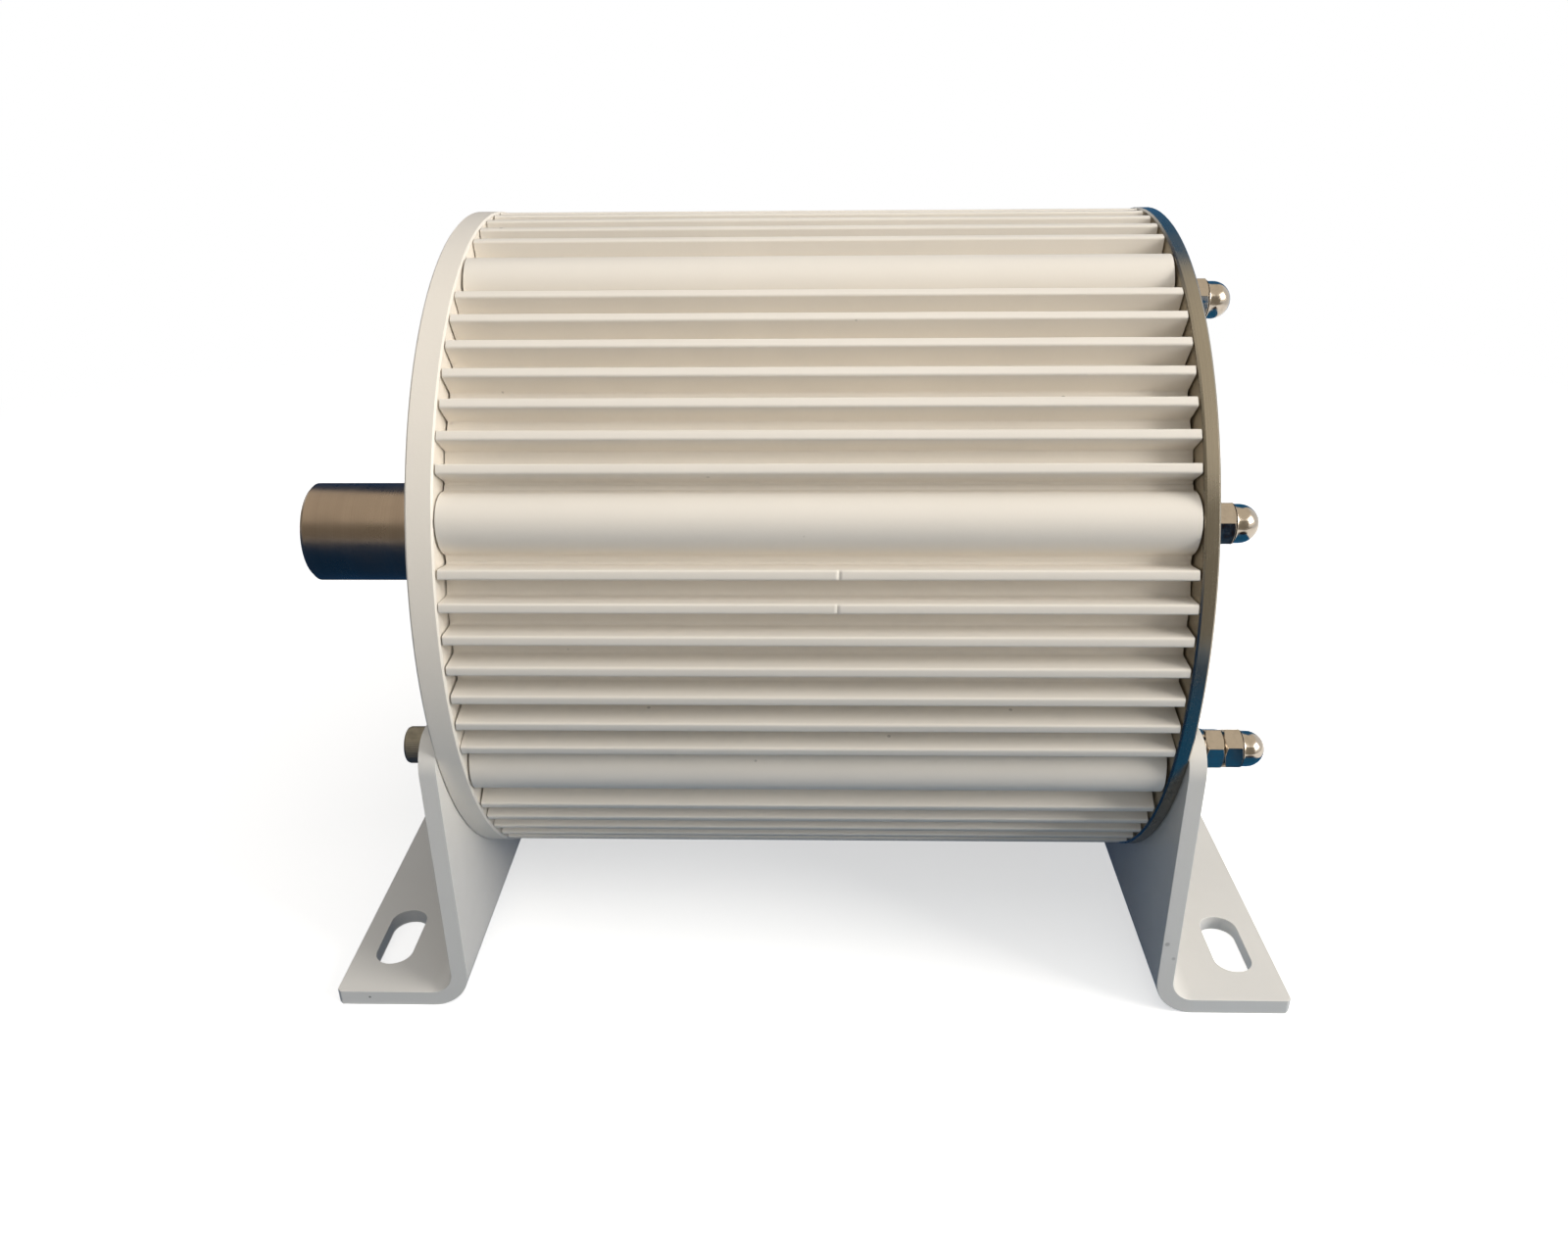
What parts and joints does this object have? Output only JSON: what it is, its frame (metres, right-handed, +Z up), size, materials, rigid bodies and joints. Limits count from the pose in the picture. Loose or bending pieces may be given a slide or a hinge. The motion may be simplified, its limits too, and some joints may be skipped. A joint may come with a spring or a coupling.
{
  "type": "permanent magnet generator",
  "caption": "Horizontal permanent magnet generator: round finned housing between two end covers, plain shaft end, bent plate feet with fixing slots.",
  "frame": {"origin": "centre of the four fixing slots, on the floor plane under the feet", "axes": "+Z up, the shaft lies along Y with its free end towards -Y, X across the machine"},
  "size_m": [0.25, 0.38, 0.267],
  "materials": {
    "housing_paint": "satin cream powder coat",
    "cover_paint": "satin cream powder coat",
    "foot_paint": "satin off-white powder coat",
    "machined_cover": "turned bare metal",
    "shaft_steel": "fine turned",
    "stainless": "polished stainless",
    "socket_screw_steel": "dull stainless with a knurled head",
    "lamination_steel": "stacked electrical sheet",
    "insulator_plastic": "moulded",
    "copper_winding": "enamelled copper wire",
    "magnet_plating": "nickel plated",
    "sleeve_composite": "wound fibre",
    "bearing_steel": "ground and polished",
    "cage_brass": "machined",
    "spring_steel": "oiled spring steel",
    "seal_rubber": "matt nitrile rubber",
    "gland_plastic": "moulded nylon"
  },
  "bodies": {
    "stator": {"housing": "housing_paint", "front_cover": "cover_paint", "rear_cover": "machined_cover", "front_foot": "foot_paint", "rear_foot": "foot_paint", "front_cover_oring": "seal_rubber", "rear_cover_oring": "seal_rubber", "foot_bolts": "socket_screw_steel", "cover_screws": "socket_screw_steel", "flat_washers": "stainless", "spring_washers": "stainless", "hex_nuts": "stainless", "acorn_nuts": "stainless", "stator_core": "lamination_steel", "tooth_insulators": "insulator_plastic", "winding_phase_u": "copper_winding", "winding_phase_v": "copper_winding", "winding_phase_w": "copper_winding", "shaft_seal": "seal_rubber", "seal_garter_spring": "spring_steel", "front_bearing_outer_ring": "bearing_steel", "front_bearing_shields": "bearing_steel", "front_bearing_circlip": "spring_steel", "rear_bearing_outer_ring": "bearing_steel", "rear_bearing_shields": "bearing_steel", "rear_wave_spring": "spring_steel", "gland_body": "gland_plastic", "gland_dome_nut": "gland_plastic", "gland_seal": "seal_rubber", "gland_washer": "seal_rubber", "gland_lock_nut": "gland_plastic"},
    "rotor": {"shaft": "shaft_steel", "rotor_key": "shaft_steel", "rotor_core": "lamination_steel", "magnets_north": "magnet_plating", "magnets_south": "magnet_plating", "magnet_sleeve": "sleeve_composite", "rotor_end_plates": "machined_cover", "rotor_circlip": "spring_steel", "front_bearing_inner_ring": "bearing_steel", "rear_bearing_inner_ring": "bearing_steel"},
    "front_ball_set": {"front_bearing_balls": "bearing_steel", "front_bearing_cage": "cage_brass"},
    "rear_ball_set": {"rear_bearing_balls": "bearing_steel", "rear_bearing_cage": "cage_brass"}
  },
  "joints": [
    {"name": "rotor_spin", "type": "hinge", "parent": "stator", "child": "rotor", "pos_m": [0, 0, 0.142], "axis": [0, -1, 0], "continuous": true},
    {"name": "front_cage_spin", "type": "hinge", "parent": "stator", "child": "front_ball_set", "pos_m": [0, 0, 0.142], "axis": [0, -1, 0], "continuous": true},
    {"name": "rear_cage_spin", "type": "hinge", "parent": "stator", "child": "rear_ball_set", "pos_m": [0, 0, 0.142], "axis": [0, -1, 0], "continuous": true}
  ],
  "couplings": [
    {"joint": "front_cage_spin", "follows": "rotor_spin", "ratio": 0.4077},
    {"joint": "rear_cage_spin", "follows": "rotor_spin", "ratio": 0.4019}
  ]
}
